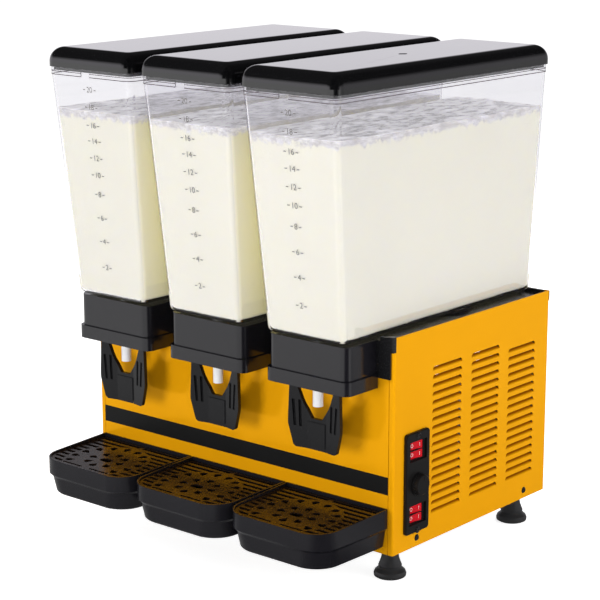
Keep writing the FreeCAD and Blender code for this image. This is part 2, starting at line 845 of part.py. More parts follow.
# Control plate
plate_x = half_width + plate_thick
ya = plate_y - plate_half_y
yb = plate_y + plate_half_y
za = plate_z - plate_half_z
zb = plate_z + plate_half_z
control = side_prism([(ya, za), (yb, za), (yb, zb), (ya, zb)], [5] * 4, half_width, plate_x)
control = control.makeChamfer(1.2, [e for e in control.Edges if e.BoundBox.XMin > plate_x - 0.01])
switch_z = [plate_z - 0.25 - switch_offset, plate_z - 0.25 + switch_offset]
shaft_hole = cyl(shaft_r + 0.4, half_width - 10, plate_y, knob_z, 30, V(1, 0, 0))
recess_y0 = plate_y - recess_y / 2
recess_y1 = plate_y + recess_y / 2
for z in switch_z:
    window = box(half_width - 5, plate_x + 1, recess_y0, recess_y1, z - recess_z / 2, z + recess_z / 2)
    control = control.cut(window)
    right = right.cut(window)
plate_screws = [(plate_y, plate_z + plate_half_z - 5.0), (plate_y, plate_z - plate_half_z + 3.0)]
for py, pz in plate_screws:
    hole = cyl(screw_r, half_width - 10, py, pz, 30, V(1, 0, 0))
    control = control.cut(hole)
    right = right.cut(hole)
control = control.cut(shaft_hole)
right = right.cut(shaft_hole)

# Switches, each a body with two rockers on their axles
face_x = plate_x - recess_deep
pivot_x = face_x - pivot_deep
well_y = rocker_y / 2 + gap + 0.35
well_z = rocker_z / 2 + gap


def rocker_outline():
    # Seen from above: a foot narrowing towards the pivot and a face hollowed between its ends
    half = rocker_y / 2
    points = [(-4.5, -4.0), (2.5, -half), (6.0, -half), (5.0, 0), (6.0, half), (2.5, half), (-4.5, 4.0)]
    return [(pivot_x + px, plate_y + py) for px, py in points]


def make_rocker(zc):
    low = zc - rocker_z / 2
    rocker = prism(rounded(rocker_outline(), [2, 1, 1, 12, 1, 1, 2], low), rocker_z)
    reach = gap + 0.3
    rocker = fuse([rocker, cyl(axle_r, pivot_x, plate_y, low - reach, rocker_z + 2 * reach)])
    rocker.rotate(V(pivot_x, plate_y, zc), V(0, 0, 1), -rocker_tilt)
    return rocker


for name, z in (("lower", switch_z[0]), ("upper", switch_z[1])):
    body = box(face_x - switch_deep, face_x, recess_y0, recess_y1, z - recess_z / 2, z + recess_z / 2)
    for k, sz in (("a", 1), ("b", -1)):
        zc = z + sz * rocker_pitch / 2
        well_x = pivot_x - 7.5
        body = body.cut(box(well_x, face_x + 1, plate_y - well_y, plate_y + well_y, zc - well_z, zc + well_z))
        reach = rocker_z / 2 + gap + 0.4
        body = body.cut(cyl(axle_r + run_fit, pivot_x, plate_y, zc - reach, 2 * reach))
        add("rocker_" + name + "_" + k, make_rocker(zc))
    add("switch_body_" + name, body)

# Knob on its shaft, and the thermostat behind it
knob_x = plate_x + gap
knob_face = knob_x + knob_height
crown_x = knob_x + knob_skirt
crown_r = knob_r - 0.8
skirt = cyl(knob_r, knob_x, plate_y, knob_z, knob_skirt, V(1, 0, 0))
crown_foot = V(crown_x, plate_y, knob_z)
crown = Part.makeCone(crown_r, crown_r - knob_taper, knob_height - knob_skirt, crown_foot, V(1, 0, 0))
crown = crown.makeChamfer(0.8, [e for e in crown.Edges if e.BoundBox.XMin > knob_face - 0.01])
flutes = []
for k in range(knob_flutes):
    angle = 2 * math.pi * k / knob_flutes
    flute_y = plate_y + (crown_r + 0.2) * math.cos(angle)
    flute_z = knob_z + (crown_r + 0.2) * math.sin(angle)
    flutes.append(cyl(flute_r, crown_x, flute_y, flute_z, 20, V(1, 0, 0)))
pointer_low = knob_z + knob_r * 0.4
pointer_high = knob_z + knob_r - 3.5
pointer = box(knob_face - 0.5, knob_face + 1, plate_y - 0.8, plate_y + 0.8, pointer_low, pointer_high)
crown = crown.cut(Part.makeCompound(flutes + [pointer]))
shaft_end = half_width - sheet - 6.0
stem = cyl(shaft_r, shaft_end + gap, plate_y, knob_z, knob_x - shaft_end, V(1, 0, 0))
add("thermostat_knob", fuse([skirt, crown, stem]))
ty, tz = thermostat_half
tx = shaft_end - thermostat_deep
thermostat = box(tx, inner_half, plate_y - ty, plate_y + ty, knob_z - tz, knob_z + tz)
thermostat = thermostat.cut(cyl(shaft_r + 0.4, shaft_end, plate_y, knob_z, 20, V(1, 0, 0)))
add("thermostat", thermostat)

# Deck: an apron in front, a lip behind and four corner tabs over the side panels
deck = slab(-inner_half, inner_half, front_y + sheet, rear_y - sheet, pan_r, deck_low, deck_z)
for x in stations:
    beam = box(x - evap_r, x + evap_r, evap_y - 14, evap_y + 14, deck_low - 2, deck_z + 2)
    deck = deck.cut(cyl(evap_r - 6, x, evap_y, deck_low - 1, 10).cut(beam))
    deck = deck.cut(cyl(motor_column, x, evap_y, deck_low - 1, 10))
apron_y = front_y - apron_thick
bridge = box(-front_half, front_half, apron_y, front_y + 2 * sheet, deck_low, deck_z)
apron = box(-apron_half, apron_half, apron_y, front_y, apron_z, top_z)
notch_half = skirt_half + 3
for x in stations:
    apron = apron.cut(box(x - notch_half, x + notch_half, front_y - 10, front_y + 20, deck_z, top_z + 1))
rear_lip = box(-front_half, front_half, rear_y - 2.5, rear_y + 2.0, deck_low, top_z - 1.0)


def make_tab(s, y0, y_cut, out, low, high, r):
    # A folded corner: it reaches past the side panel outside the cabinet and is cut back inside
    a = min(s * front_half, s * out)
    b = max(s * front_half, s * out)
    c = min(s * (front_half - 2), s * half_width)
    d = max(s * (front_half - 2), s * half_width)
    tab = slab(a, b, y0, y0 + tab_len, r, low, high)
    return tab.cut(box(c, d, y_cut, y_cut + 20, low - 1, top_z))


tabs = []
for s in (-1, 1):
    tabs.append(make_tab(s, front_y - 5.0, front_y, tab_out, tab_z, top_z + 2.0, 1.5))
    rear_start = rear_y - tab_len + tab_rear_proud
    tabs.append(make_tab(s, rear_start, rear_y - 20, half_width - 0.6, tab_rear_z, top_z - 0.5, 0.7))
deck = fuse([deck, bridge, apron, rear_lip] + tabs)

# Rear panel with its slots, and the cord gland
back = box(-front_half, front_half, rear_y - sheet, rear_y, floor_z, deck_low)
gland_x = 88.9 - half_width
back = back.cut(cyl(gland_r, gland_x, rear_y - 5, gland_z, 10, V(0, 1, 0)))
for row in range(back_rows):
    z = back_z + row * louvre_pitch_z
    for column in range(back_columns):
        xc = (column - (back_columns - 1) / 2) * back_pitch
        slot = box(xc - back_slot_half, xc + back_slot_half, rear_y - 5, rear_y + 1, z, z + back_slot_high)
        back = back.cut(slot)
for px, pz in back_screws:
    back = back.cut(cyl(screw_r, px, rear_y - 5, pz, 10, V(0, 1, 0)))
gland = fuse([cyl(gland_r, gland_x, rear_y - 6, gland_z, 16, V(0, 1, 0)),
              cyl(gland_flange, gland_x, rear_y, gland_z, 5, V(0, 1, 0)),
              cyl(gland_flange, gland_x, rear_y - sheet - 4, gland_z, 4, V(0, 1, 0))])
gland = gland.cut(cyl(gland_hole, gland_x, rear_y - 8, gland_z, 24, V(0, 1, 0)))

add("base_pan", pan)
add("front_panel", panel)
add("side_panel_right", right)
add("side_panel_left", left)
add("control_plate", control)
add("deck", deck)
add("rear_panel", back)
add("cable_gland", gland)
add("front_stripe", box(-front_half, front_half, front_y - stripe_thick, front_y, *stripe_z))


# Screws
def make_screw(x, y, z, axis, grip_len):
    head = Part.makeSphere(screw_dome, V(0, 0, screw_head - screw_dome))
    head = head.common(Part.makeBox(20, 20, 10, V(-10, -10, 0)))
    cross = fuse([box(-2.2, 2.2, -0.5, 0.5, 1.2, 5), box(-0.5, 0.5, -2.2, 2.2, 1.2, 5)])
    shank = cyl(screw_r, 0, 0, -grip_len, grip_len + 0.5)
    shape = fuse([head, shank]).cut(cross)
    shape.rotate(V(0, 0, 0), V(0, 0, 1).cross(axis), 90)
    shape.translate(V(x, y, z))
    return shape


screws = []
for py, pz in side_screws:
    screws.append(make_screw(half_width, py, pz, V(1, 0, 0), 6))
    screws.append(make_screw(-half_width, py, pz, V(-1, 0, 0), 6))
for py, pz in plate_screws:
    screws.append(make_screw(plate_x, py, pz, V(1, 0, 0), 9))
for px, pz in back_screws:
    screws.append(make_screw(px, rear_y, pz, V(0, 1, 0), 6))
add("screws", screws)

# Feet: a round pad, a waist and a tapered stem on a stud
pad = [(0, 0), (20.5, 0), (23.0, 1.5), (23.5, 5.0), (22.0, 9.0), (17.5, 13.0)]
stem_line = [(16.3, 15.0), (17.0, 17.0), (15.0, 22.0), (13.0, 28.0), (11.5, 36.0), (11.5, foot_height)]
stud = [(stud_r, foot_height), (stud_r, foot_height + stud_high), (0, foot_height + stud_high)]
foot_names = ("foot_front_left", "foot_front_right", "foot_rear_left", "foot_rear_right")
for name, place in zip(foot_names, foot_places):
    add(name, revolve(pad + stem_line + stud, *place))

# Compressor
comp_x = 168.9 - half_width
comp_y = rear_y - 125.5
pot_z = pan_top + compressor_z
pot_top = pot_z + compressor_height
pot = cyl(compressor_r, comp_x, comp_y, pot_z, compressor_height)
pot = fuse([pot, cyl(seam_r, comp_x, comp_y, pan_top + 80, 8)])
pot = pot.makeFillet(14, [e for e in pot.Edges if e.BoundBox.ZMin > pot_top - 1])
rail_z = pan_top + pad_height
pads = []
for sx in (-1, 1):
    for sy in (-1, 1):
        pads.append(cyl(pad_r, comp_x + sx * 70, comp_y + sy * 60, pan_top, pad_height))
rail = box(comp_x - 85, comp_x + 85, comp_y - 72, comp_y - 48, rail_z, rail_z + 3)
bridge = box(comp_x - 30, comp_x + 30, comp_y - 72, comp_y + 72, rail_z, rail_z + 8)
add("compressor", fuse([pot] + pads + [rail, rail.translated(V(0, 120, 0)), bridge]))

# Condenser
cond_x = half_width - 56.9
cond_y0 = front_y + 88.0
cond_y1 = rear_y - 95.5
half = condenser_half
fins = []
for i in range(fin_count):
    z = pan_top + 8 + i * fin_pitch
    fins.append(box(cond_x - half + 2, cond_x + half - 2, cond_y0 + 1, cond_y1 - 1, z, z + fin_thick))
ends = []
for y in (cond_y0, cond_y1 - 2):
    ends.append(box(cond_x - half, cond_x + half, y, y + 2, pan_top, pan_top + condenser_height))
tubes = []
tube_low = pan_top + 23
tube_len = cond_y1 - cond_y0 + 12
for i in range(tube_rows):
    for dx in (-tube_offset, tube_offset):
        tubes.append(cyl(tube_out, cond_x + dx, cond_y0 - 6, tube_low + i * tube_step, tube_len, V(0, 1, 0)))
add("condenser", fuse(fins + ends + tubes))

# Fan and its motor
fan_x = cond_x - 70.0
fan_z = pan_top + condenser_height / 2
rotor = [cyl(fan_hub, fan_x + 8, 0, fan_z, 28, V(1, 0, 0))]
for k in range(fan_count):
    blade = box(-1.0, 1.0, -20, 20, fan_hub - 4, fan_r)
    blade.rotate(V(0, 0, 0), V(0, 0, 1), fan_twist)
    blade.rotate(V(0, 0, 0), V(1, 0, 0), 360.0 / fan_count * k)
    blade.translate(V(fan_x + 22, 0, fan_z))
    rotor.append(blade)
rotor = fuse(rotor).cut(cyl(fan_shaft + run_fit, fan_x + 5, 0, fan_z, 15 + gap, V(1, 0, 0)))
add("fan_blades", rotor)
motor = [cyl(26, fan_x - 50, 0, fan_z, 50, V(1, 0, 0))]
motor.append(cyl(fan_shaft, fan_x - 2, 0, fan_z, 22 - gap, V(1, 0, 0)))
motor.append(box(fan_x - 44, fan_x - 14, -12, 12, pan_top, fan_z))
motor.append(box(fan_x - 50, fan_x - 8, -35, 35, pan_top, pan_top + 3))
add("fan_motor", fuse(motor))

# Refrigerant pipes, the coil inside each evaporator and the drier
pipes = []
for x in stations:
    pipes.append(coil(coil_r, pipe_r, coil_pitch, coil_turns, x, evap_y, deck_z + 8.0))
tail_y = cond_y1 + 6
run_y = rear_y - 45.5
run_z = 250.0
tube_high = tube_low + (tube_rows - 1) * tube_step
gas_x = cond_x - tube_offset
start = V(comp_x + 40, comp_y, pot_top + 2)
hot = [start, V(start.x, comp_y, run_z), V(start.x, run_y, run_z)]
hot += [V(gas_x, run_y, run_z), V(gas_x, run_y, tube_high), V(gas_x, tail_y, tube_high)]
pipes.append(pipe(hot, pipe_r, pipe_bend))
liquid_x = cond_x + tube_offset
drier_y = rear_y - 35.5
drier_x = -60.0
drier_len = 100.0
liquid = [V(liquid_x, tail_y, tube_low), V(liquid_x, drier_y, tube_low)]
liquid.append(V(drier_x + drier_len, drier_y, tube_low))
pipes.append(pipe(liquid, pipe_r, pipe_bend))
pipes.append(cyl(11, drier_x, drier_y, tube_low, drier_len, V(1, 0, 0)))
add("pipework", pipes)

# Write every node in the shared frame
for name, shapes in nodes.items():
    shape = shapes[0] if len(shapes) == 1 else Part.makeCompound(shapes)
    shape = shape.copy()
    shape.translate(V(-shift_x, -shift_y, 0))
    shape.exportStep("parts/" + name + ".step")
    print(name, len(shape.Solids), shape.isValid(), round(shape.Volume), shape.BoundBox)
print("nodes", len(nodes), "shift", shift_x, shift_y)
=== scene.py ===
import math

import bmesh
import bpy
from mathutils import Matrix, Vector, noise


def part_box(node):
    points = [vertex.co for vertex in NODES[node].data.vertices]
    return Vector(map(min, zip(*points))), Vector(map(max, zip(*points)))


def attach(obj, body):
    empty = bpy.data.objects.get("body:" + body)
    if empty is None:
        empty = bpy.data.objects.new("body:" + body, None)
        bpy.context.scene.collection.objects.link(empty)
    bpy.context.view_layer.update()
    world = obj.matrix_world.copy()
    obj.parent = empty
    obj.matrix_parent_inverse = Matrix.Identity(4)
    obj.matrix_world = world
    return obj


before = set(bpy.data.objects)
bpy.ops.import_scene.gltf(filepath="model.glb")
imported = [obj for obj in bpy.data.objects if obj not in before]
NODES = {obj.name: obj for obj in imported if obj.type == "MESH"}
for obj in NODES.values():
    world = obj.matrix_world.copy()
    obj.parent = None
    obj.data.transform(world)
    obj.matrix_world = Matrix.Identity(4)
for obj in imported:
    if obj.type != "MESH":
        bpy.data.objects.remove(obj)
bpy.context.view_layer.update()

SIDES = ("left", "middle", "right")

# The tanks' middles, the cabinet's walls, and the step from the cabinet's own y to the frame's
PANEL_FRONT = -0.188
TANK_X = {s: (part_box("tank_" + s)[0][0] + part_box("tank_" + s)[1][0]) / 2 for s in SIDES}
CAB_LOW, CAB_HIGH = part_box("side_panel_right")
CAB_MID = (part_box("side_panel_left")[0][0] + CAB_HIGH[0]) / 2
SHIFT_Y = CAB_LOW[1] - PANEL_FRONT

# Tank walls: half width, front and rear, at the floor and at the rim
TANK_FLOOR = 0.358
TANK_RIM = 0.6906
TANK_WALL = 0.003
BOTTOM = (0.0695, -0.261 + SHIFT_Y, 0.192 + SHIFT_Y)
TOP = (0.08235, -0.2949 + SHIFT_Y, 0.2025 + SHIFT_Y)
FRONT_SLOPE = (BOTTOM[1] - TOP[1]) / (TANK_RIM - TANK_FLOOR)

# Drink: its level, its clearance in the tank, its rounded edges, and the rings that it is lofted from
DRINK_LEVEL = 0.6405
DRINK_CLEAR = 0.00015
FROTH_EDGE = 0.005
FLOOR_CURVE = 0.0075
FLOOR_CORNER = 0.0065
WALL_CORNER = 0.008
FLOOR_RINGS = 4
WALL_RINGS = 8
FROTH_RINGS = 24

# Height of the froth's broad and fine waves, how many there are to a metre, and where their pattern starts
BROAD_WAVE = (0.0016, 28.0, 16.0, 1.7)
FINE_WAVE = (0.0011, 110.0, 70.0, 4.1)

# Hollow in the drink over the impeller, and the hole over the outlet
HOLLOW_R = 0.0655
HOLLOW_LOW = 0.33
HOLLOW_OVER = 0.006
OUTLET_R = 0.0122
OUTLET_MIDDLE = 0.36
OUTLET_LONG = 0.036

# Litre marks: value and height, size of the figures, and their dashes
MARKS = ((20, 0.6724), (18, 0.6470), (16, 0.6200), (14, 0.5969), (12, 0.5717), (10, 0.5463), (8, 0.5173),
         (6, 0.4818), (4, 0.4460), (2, 0.4063))
MARK_SIZE = 0.0118
MARK_PROUD = 0.00012
MARK_LEAN = math.atan2(BOTTOM[1] - TOP[1], TANK_RIM - TANK_FLOOR)
TWO_FIGURES = 0.0085
ONE_FIGURE = 0.0052
DASH_LONG = 0.0045
DASH_HALF = 0.0006

# Round mark on the right lid
LID_MARK_Y = -0.045 + SHIFT_Y
LID_MARK_R = 0.0062
LID_MARK_PROUD = 0.00005

# Painted dark lines standing in for the light bent by a tank's stepped rim: their place under the lid, their
# heights, the notch that breaks them
LID_HALF = 0.08615
LID_ENDS = (-0.2987 + SHIFT_Y, 0.2063 + SHIFT_Y)
LID_CORNER = 0.016
RIM_INSET = 0.0026
RIM_PROUD = 0.00015
RIM_SUNK = 0.0001
RIM_HEIGHTS = ((0.6902, 0.6914), (0.6951, 0.6961))
NOTCH = (-0.01400, 0.00300)

# Marks at the two ends of each rocker, in the rocker's own place
ROCKER_PIVOT = (CAB_MID + 0.2837, SHIFT_Y - 0.137)
ROCKER_TILT = -7.0
ROCKER_MARKS = (("O", -0.0078, 4.2), ("I", 0.0078, -4.2))
ROCKER_FACE = 0.0057
ROCKER_MARK_SIZE = 0.0075

# Camera, as the photograph was taken
CAMERA_AT = Vector((CAB_MID + 1.8282, -2.2117 + SHIFT_Y, 1.0154))
CAMERA_AIM = Vector((CAB_MID - 0.0351, -0.0045 + SHIFT_Y, 0.3336))
CAMERA_LENS = 115.63
CAMERA_SENSOR = 36.0
CAMERA_REACH = 60.0

# Sides of the studio that stay black or dim in mirrors: direction, where the shade starts, where it is full
FLAG = ((0.645, -0.764, 0.0), 0.55, 0.80)
FLOOR_FLAG = ((0.80, -0.60, 0.0), 0.88, 0.98)
DIM_SIDE = ((0.62, 0.785, 0.0), 0.55, 0.85)
DIM_LIGHT = 0.4

# Floor: half its side, its grey under the shadow, and how bright it is seen, bare and through the tanks
FLOOR_SIZE = 14.0
FLOOR_GREY = 0.86
FLOOR_SEEN = 0.78
FLOOR_THROUGH = 0.72

# Studio: light on dull surfaces, tint of what gloss mirrors, the lamps' aim and distance, and for each lamp
# its name, the side it stands on, its size and its power
ROOM_LIGHT = 0.38
GLOSS_TINT = (0.965, 0.94, 1.0)
LAMP_AIM = Vector((0.0, 0.0, 0.36))
LAMP_AWAY = 2.8
LAMPS = (("front", (-0.04, -1.0, 0.06), (0.9, 0.9), 34.0), ("key", (0.62, -0.78, 0.06), (1.3, 1.0), 15.0),
         ("side", (0.95, 0.20, 0.18), (1.8, 1.4), 35.0), ("left", (-0.97, 0.12, 0.18), (1.8, 1.4), 24.0),
         ("back", (-0.20, 0.95, 0.30), (1.8, 1.4), 34.0))
WHITE = (1.0, 1.0, 1.0)

# Rays have three tanks to pass
BOUNCES = 24
CLEAR_BOUNCES = 32

# Painted shade inside the louvred walls: middle, where the shade is full and where it ends, along each axis
SHEET = (0.0024, 0.0004)
MARGIN = (0.016, 0.012)
CAB_CENTRE = [(CAB_LOW[i] + CAB_HIGH[i]) / 2 for i in range(3)]
CAB_REACH = [(CAB_HIGH[i] - CAB_LOW[i]) / 2 for i in range(3)]
LOUVRED = ((CAB_MID, CAB_HIGH[0] - CAB_MID - SHEET[0], CAB_HIGH[0] - CAB_MID - SHEET[1]),
           (CAB_CENTRE[1], CAB_REACH[1] - MARGIN[0], CAB_REACH[1] - MARGIN[1]),
           (CAB_CENTRE[2], CAB_REACH[2] - MARGIN[0], CAB_REACH[2] - MARGIN[1]))

# Faces between the tanks, where light is painted: how far sideways they look, how near the middle they lie,
# how deep their painted tint and glow run
GAP_SIDEWAYS = (0.80, 0.99)
GAP_REACH = (0.14, 0.20)
GAP_DEPTH = (0.004, 0.065)

# Painted glow, as emission, of the drink, of its faces between the tanks from their front inwards, and of the
# froth's dark and pale
DRINK_LIGHT = 0.105
GAP_LIGHT = (0.22, 0.085)
FROTH_LIGHT = (0.17, 0.60)
FROTH_BAND = (DRINK_LEVEL + 0.003, DRINK_LEVEL + 0.008)
FROTH_WOBBLE = 0.030
FROTH_LEVEL = (0.4, 0.8)

# Colours of the drink and its froth, of the painted yellowish light on the drink between the tanks, and of
# the painted glow
DRINK_COLOURS = ((0.775, 0.757, 0.665), (0.800, 0.782, 0.690))
GAP_PAINTED_TINT = (0.80, 0.755, 0.40)
FROTH_DARK = (0.50, 0.475, 0.47)
FROTH_PALE = ((0.80, 0.785, 0.785), (0.69, 0.675, 0.68))
DRINK_GLOW = (1.0, 0.93, 0.60)
FROTH_GLOW = (0.92, 0.90, 0.94)


# Shader helpers
class Net:
    # Nodes of one material or world, with its output and the coordinates that its patterns follow
    def __init__(self, tree, output, source):
        self.nodes = tree.nodes
        self.links = tree.links
        self.nodes.clear()
        self.out = self.add(output)
        self.coords = self.add("ShaderNodeTexCoord").outputs[source]

    def add(self, kind, **settings):
        node = self.nodes.new(kind)
        for key, value in settings.items():
            setattr(node, key, value)
        return node

    def link(self, a, b):
        self.links.new(a, b)

    def feed(self, socket, value):
        # A number or a colour is set on the socket, anything else is linked to it
        if isinstance(value, float):
            socket.default_value = value
        elif isinstance(value, tuple):
            socket.default_value = (*value, 1.0)
        else:
            self.link(value, socket)

    def split(self, source):
        node = self.add("ShaderNodeSeparateXYZ")
        self.link(source, node.inputs[0])
        return node.outputs

    def math(self, operation, *values):
        node = self.add("ShaderNodeMath", operation=operation)
        for socket, value in zip(node.inputs, values):
            self.feed(socket, value)
        return node.outputs[0]

    def noise(self, scale, detail=3.0, stretch=None, rough=0.5):
        node = self.add("ShaderNodeTexNoise")
        node.inputs["Scale"].default_value = scale
        node.inputs["Detail"].default_value = detail
        node.inputs["Roughness"].default_value = rough
        source = self.coords
        if stretch:
            mapping = self.add("ShaderNodeMapping")
            mapping.inputs["Scale"].default_value = stretch
            self.link(source, mapping.inputs[0])
            source = mapping.outputs[0]
        self.link(source, node.inputs["Vector"])
        return node.outputs["Fac"]

    def ramp(self, factor, low=0.0, high=1.0, start=0.3, end=0.7):
        node = self.add("ShaderNodeMapRange")
        node.inputs["From Min"].default_value = start
        node.inputs["From Max"].default_value = end
        node.inputs["To Min"].default_value = low
        node.inputs["To Max"].default_value = high
        self.link(factor, node.inputs["Value"])
        return node.outputs[0]

    def mix(self, factor, a, b):
        node = self.add("ShaderNodeMix", data_type="RGBA")
        self.feed(node.inputs[6], a)
        self.feed(node.inputs[7], b)
        self.link(factor, node.inputs[0])
        return node.outputs[2]

    def mix_shaders(self, factor, a, b):
        node = self.add("ShaderNodeMixShader")
        for socket, source in zip(node.inputs, (factor, a, b)):
            self.link(source, socket)
        return node.outputs[0]

    def bump(self, height, strength, distance, normal=None):
        node = self.add("ShaderNodeBump")
        node.inputs["Strength"].default_value = strength
        node.inputs["Distance"].default_value = distance
        self.link(height, node.inputs["Height"])
        if normal is not None:
            self.link(normal, node.inputs["Normal"])
        return node.outputs[0]

    def soft_edges(self, radius):
        node = self.add("ShaderNodeBevel", samples=4)
        node.inputs["Radius"].default_value = radius
        return node.outputs[0]


class Finish(Net):
    # A material around one surface shader, whose patterns follow the piece
    def __init__(self, name):
        self.mat = bpy.data.materials.new(name)
        self.mat.use_nodes = True
        super().__init__(self.mat.node_tree, "ShaderNodeOutputMaterial", "Object")
        self.bsdf = self.add("ShaderNodeBsdfPrincipled")
        self.link(self.bsdf.outputs[0], self.out.inputs[0])

    def set(self, **values):
        for key, value in values.items():
            self.bsdf.inputs[key.replace("_", " ")].default_value = value

    def wire(self, **sources):
        for key, source in sources.items():
            self.link(source, self.bsdf.inputs[key.replace("_", " ")])


def behind_louvres(net):
    # Mask of the painted louvre shade: 1 on what lies inside the louvred walls, 0 on their outside and along
    # their edges
    place = net.split(net.coords)
    behind = None
    for axis, (middle, start, end) in enumerate(LOUVRED):
        away = net.math("ABSOLUTE", net.math("SUBTRACT", place[axis], middle))
        share = net.ramp(away, 1.0, 0.0, start, end)
        behind = share if behind is None else net.math("MULTIPLY", behind, share)
    return behind


def plain(name, colour, rough, vary=0.08, grain=180.0, depth=0.00002, edge=0.0006, metal=0.0, scale=9.0,
          rough_vary=0.06, stretch=None, level=0.5, tint=None, ior=1.5, painted_louvre_shade=None):
    # A moulded or painted surface: broad colour drift, fine grain, softened edges, and painted shade behind
    # its louvres
    net = Finish(name)
    broad = net.ramp(net.noise(scale, 4.0, stretch))
    dark = tuple(c * (1 - vary) for c in colour)
    light = tuple(min(c * (1 + vary), 1.0) for c in colour)
    paint = net.mix(broad, dark, light)
    # Painted shade: the colour turns to a dark shade colour inside the louvred walls
    if painted_louvre_shade:
        paint = net.mix(behind_louvres(net), paint, painted_louvre_shade)
    fine = net.noise(grain, 5.0, stretch)
    normal = net.soft_edges(edge) if edge else None
    net.wire(Base_Color=paint, Roughness=net.ramp(fine, rough - rough_vary, rough + rough_vary),
             Normal=net.bump(fine, 0.35, depth, normal))
    net.set(Metallic=metal, IOR=ior, Specular_IOR_Level=level)
    if tint:
        net.set(Specular_Tint=(*tint, 1.0))
    return net.mat


def clear_plastic():
    # Clear polycarbonate: it darkens along its edges and lets lamp light straight through
    net = Finish("clear_polycarbonate")
    net.set(Roughness=0.0, IOR=1.49, Transmission_Weight=1.0)
    haze = net.mix(net.ramp(net.noise(14.0, 3.0)), (0.985, 0.982, 0.995), (0.997, 0.995, 1.0))
    net.wire(Base_Color=haze, Normal=net.bump(net.noise(40.0, 2.0), 0.08, 0.00001))
    through = net.add("ShaderNodeBsdfTransparent")
    net.feed(through.inputs[0], (0.995, 0.995, 0.998))
    path = net.add("ShaderNodeLightPath").outputs
    either = net.math("MAXIMUM", path["Is Shadow Ray"], path["Is Diffuse Ray"])
    net.link(net.mix_shaders(either, net.bsdf.outputs[0], through.outputs[0]), net.out.inputs[0])
    volume = net.add("ShaderNodeVolumeAbsorption")
    net.feed(volume.inputs["Color"], (0.55, 0.54, 0.62))
    net.feed(volume.inputs["Density"], 42.0)
    net.link(volume.outputs[0], net.out.inputs["Volume"])
    return net.mat


def between_tanks(net, place, facing):
    # How much a face looks into the gap between two tanks, and how deep it lies behind the leaning front: the
    # masks of the painted light there
    sideways = net.ramp(net.math("ABSOLUTE", facing[0]), 0.0, 1.0, *GAP_SIDEWAYS)
    off_middle = net.math("ABSOLUTE", net.math("SUBTRACT", place[0], CAB_MID))
    in_gap = net.math("MULTIPLY", sideways, net.ramp(off_middle, 1.0, 0.0, *GAP_REACH))
    leaning = net.math("ADD", net.math("MULTIPLY", place[2], FRONT_SLOPE), place[1])
    front = BOTTOM[1] + FRONT_SLOPE * TANK_FLOOR
    return in_gap, net.ramp(leaning, 0.0, 1.0, front + GAP_DEPTH[0], front + GAP_DEPTH[1])


def drink_material():
    # Milky drink with froth along its surface; a painted glow stands in for the light that it spreads inside,
    # and painted light brightens its froth and its faces between the tanks
    net = Finish("milky_drink")
    net.set(Subsurface_Weight=0.35, Subsurface_Radius=(0.04, 0.034, 0.016), Specular_IOR_Level=0.15)
    place = net.split(net.coords)
    facing = net.split(net.add("ShaderNodeNewGeometry").outputs["True Normal"])
    in_gap, deep = between_tanks(net, place, facing)
    body = net.mix(net.ramp(net.noise(6.0, 2.0)), *DRINK_COLOURS)
    # Painted yellowish light on the drink's faces deep between the tanks
    body = net.mix(net.math("MULTIPLY", in_gap, deep), body, GAP_PAINTED_TINT)

    wobble = net.math("MULTIPLY_ADD", net.noise(95.0, 5.0, rough=0.7), FROTH_WOBBLE, place[2])
    froth_band = net.ramp(wobble, 0.0, 1.0, *FROTH_BAND)
    streaks = net.ramp(net.noise(85.0, 7.0, (1.0, 0.4, 1.6), 0.72), 0.0, 1.0, 0.40, 0.60)
    specks = net.ramp(net.noise(190.0, 3.0, (1.0, 0.6, 1.0)), 0.0, 1.0, 0.35, 0.65)
    froth = net.mix(streaks, FROTH_DARK, net.mix(specks, *FROTH_PALE))

    # Painted light: emission on the froth's top, on the faces between the tanks, and over the whole drink
    on_top = net.math("MULTIPLY", froth_band, net.ramp(facing[2], 0.0, 1.0, *FROTH_LEVEL))
    gap_glow = net.math("MULTIPLY", in_gap, net.ramp(deep, *GAP_LIGHT, 0.0, 1.0))
    glow = net.math("MULTIPLY_ADD", on_top, net.ramp(streaks, *FROTH_LIGHT, 0.0, 1.0),
                    net.math("ADD", gap_glow, DRINK_LIGHT))
    net.wire(Base_Color=net.mix(froth_band, body, froth),
             Emission_Color=net.mix(froth_band, DRINK_GLOW, FROTH_GLOW),
             Emission_Strength=glow,
             Roughness=net.ramp(froth_band, 0.5, 0.75, 0.0, 1.0),
             Normal=net.bump(net.math("MULTIPLY", specks, froth_band), 0.5, 0.0008))
    return net.mat


